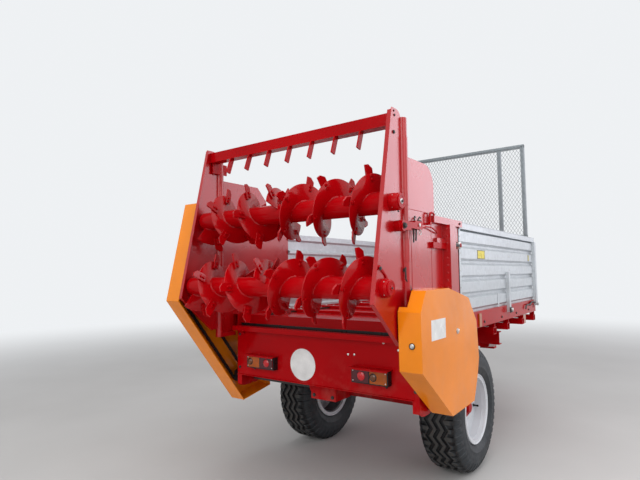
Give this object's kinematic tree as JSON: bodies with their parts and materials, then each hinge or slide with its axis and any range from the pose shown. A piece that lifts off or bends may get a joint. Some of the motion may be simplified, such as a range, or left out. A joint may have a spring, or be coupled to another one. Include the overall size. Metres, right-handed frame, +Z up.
{
  "type": "manure spreader",
  "caption": "Single-axle trailed manure spreader with ribbed load box, chain floor, two horizontal helical beaters, chain guards and a mesh front screen.",
  "frame": {"origin": "on the ground at the middle of the whole machine's box", "axes": "+X to the right, +Y forward to the towing eye, +Z up"},
  "size_m": [1.56, 3.9966, 2.409],
  "materials": {
    "red_paint": "gloss",
    "galvanised": "hot-dip galvanised, matt",
    "black_steel": "satin",
    "cone_plastic": "matt",
    "orange_paint": "gloss",
    "lamp_black": "matt",
    "amber_lens": "moulded, clear",
    "red_lens": "moulded, clear",
    "sign_white": "smooth",
    "tyre_rubber": "matt",
    "rim_paint": "satin"
  },
  "bodies": {
    "chassis": {"chassis_frame": "red_paint", "rear_panel": "red_paint", "drawbar": "red_paint", "jack_sleeve": "red_paint", "axle_beam": "red_paint", "rear_side_left": "red_paint", "rear_side_right": "red_paint", "beater_plate_left": "red_paint", "beater_plate_right": "red_paint", "top_beam": "red_paint", "bearings_left": "red_paint", "bearings_right": "red_paint", "clamps": "red_paint", "floor_plate": "red_paint", "conveyor": "red_paint", "gearbox": "red_paint", "side_wall_left": "galvanised", "side_wall_right": "galvanised", "wall_posts": "galvanised", "front_wall": "galvanised", "screen_frame": "galvanised", "screen_mesh": "galvanised", "towing_eye": "black_steel", "conveyor_shaft": "black_steel", "drive_chains": "black_steel", "pto_cone": "cone_plastic", "guard_left": "orange_paint", "guard_right": "orange_paint", "lamp_housings": "lamp_black", "lens_amber": "amber_lens", "lens_red": "red_lens", "round_sign": "sign_white"},
    "wheel_left": {"tyre_left": "tyre_rubber", "rim_left": "rim_paint", "hub_left": "red_paint"},
    "wheel_right": {"tyre_right": "tyre_rubber", "rim_right": "rim_paint", "hub_right": "red_paint"},
    "lower_beater": {"lower_tube": "red_paint", "lower_flights": "red_paint"},
    "upper_beater": {"upper_tube": "red_paint", "upper_flights": "red_paint"},
    "cross_drive": {"cross_shaft": "black_steel"},
    "input_drive": {"input_shaft": "galvanised"},
    "jack": {"jack_leg": "galvanised"}
  },
  "joints": [
    {"name": "wheel_left_spin", "type": "hinge", "parent": "chassis", "child": "wheel_left", "pos_m": [-0.545, -0.639, 0.38], "axis": [1, 0, 0], "continuous": true},
    {"name": "wheel_right_spin", "type": "hinge", "parent": "chassis", "child": "wheel_right", "pos_m": [0.545, -0.639, 0.38], "axis": [1, 0, 0], "continuous": true},
    {"name": "lower_beater_spin", "type": "hinge", "parent": "chassis", "child": "lower_beater", "pos_m": [0, -1.807, 1.168], "axis": [1, 0, 0], "continuous": true},
    {"name": "upper_beater_spin", "type": "hinge", "parent": "chassis", "child": "upper_beater", "pos_m": [0, -1.713, 1.564], "axis": [1, 0, 0], "continuous": true},
    {"name": "cross_drive_spin", "type": "hinge", "parent": "chassis", "child": "cross_drive", "pos_m": [-0.5, -1.323, 0.56], "axis": [1, 0, 0], "continuous": true},
    {"name": "input_drive_spin", "type": "hinge", "parent": "chassis", "child": "input_drive", "pos_m": [0, 0.847, 0.56], "axis": [0, 1, 0], "continuous": true},
    {"name": "jack_slide", "type": "slide", "parent": "chassis", "child": "jack", "axis": [0, 0, 1], "range_m": [-0.06, 0.3]}
  ],
  "couplings": [
    {"joint": "upper_beater_spin", "follows": "lower_beater_spin", "ratio": 1},
    {"joint": "cross_drive_spin", "follows": "lower_beater_spin", "ratio": 1},
    {"joint": "input_drive_spin", "follows": "lower_beater_spin", "ratio": 1}
  ]
}
